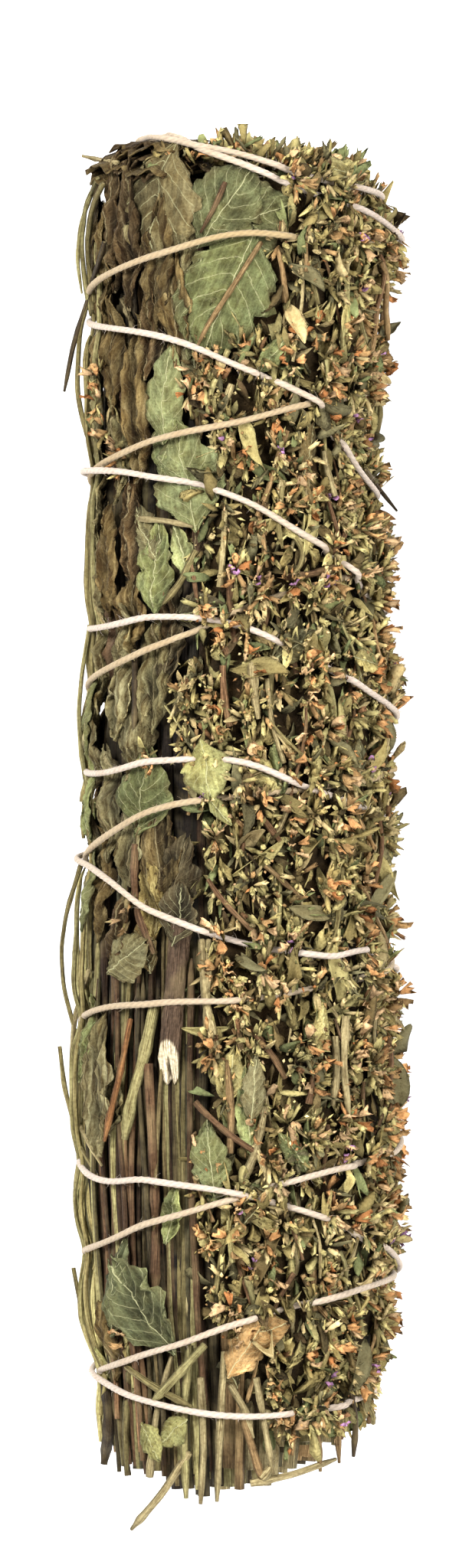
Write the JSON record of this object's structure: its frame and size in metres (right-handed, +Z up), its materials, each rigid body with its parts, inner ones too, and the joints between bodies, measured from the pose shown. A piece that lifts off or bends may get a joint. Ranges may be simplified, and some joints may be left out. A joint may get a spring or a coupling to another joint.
{
  "type": "herb smudge bundle",
  "caption": "Dried bundle of mint leaves and flowering oregano tops on their stems, wound tightly up and down with cotton twine, lying on its side.",
  "frame": {"origin": "centre of the bounding box in X and Y, at its bottom, where the bundle rests", "axes": "+Y along the bundle to its leafy tip, +Z up from the surface it lies on, +X towards the side of the flowering tops"},
  "size_m": [0.0557, 0.2138, 0.0487],
  "materials": {
    "stem_green": "dry, ribbed, olive to straw",
    "stem_brown": "dry, dull, dark brown",
    "leaf_dark": "crumpled, dull, brown grey",
    "leaf_green": "dry, dull, grey green",
    "oregano": "dry, dull, olive brown",
    "cotton": "soft, plied, natural white"
  },
  "bodies": {
    "root": {"edge_stalk_1": "stem_green", "edge_stalk_2": "stem_green", "edge_stalk_3": "stem_green", "flowering_top_01": "oregano", "flowering_top_02": "oregano", "flowering_top_03": "oregano", "flowering_top_04": "oregano", "flowering_top_05": "oregano", "flowering_top_06": "oregano", "flowering_top_07": "oregano", "flowering_top_08": "oregano", "flowering_top_09": "oregano", "flowering_top_10": "oregano", "flowering_top_11": "oregano", "flowering_top_12": "oregano", "leaf_01": "leaf_dark", "leaf_02": "leaf_green", "leaf_03": "leaf_green", "leaf_04": "leaf_dark", "leaf_05": "leaf_dark", "leaf_06": "leaf_dark", "leaf_07": "leaf_green", "leaf_08": "leaf_green", "leaf_09": "leaf_dark", "leaf_10": "leaf_green", "leaf_11": "leaf_dark", "leaf_12": "leaf_dark", "leaf_13": "leaf_green", "leaf_14": "leaf_dark", "leaf_15": "leaf_dark", "leaf_16": "leaf_green", "leaf_17": "leaf_dark", "leaf_18": "leaf_dark", "leaf_19": "leaf_dark", "low_stem_01": "stem_brown", "low_stem_02": "stem_green", "low_stem_03": "stem_brown", "low_stem_04": "stem_green", "low_stem_05": "stem_brown", "low_stem_06": "stem_green", "low_stem_07": "stem_brown", "low_stem_08": "stem_green", "low_stem_09": "stem_brown", "outer_stems": "stem_green", "packed_stems": "stem_green", "stray_stem_1": "stem_green", "stray_stem_2": "stem_green", "stray_stem_3": "stem_green", "stray_stem_4": "stem_green", "tip_leaf_1": "leaf_dark", "tip_leaf_2": "leaf_dark", "tip_leaf_3": "leaf_dark", "tip_spray": "oregano", "twine": "cotton", "woody_stem": "stem_brown"}
  },
  "joints": []
}
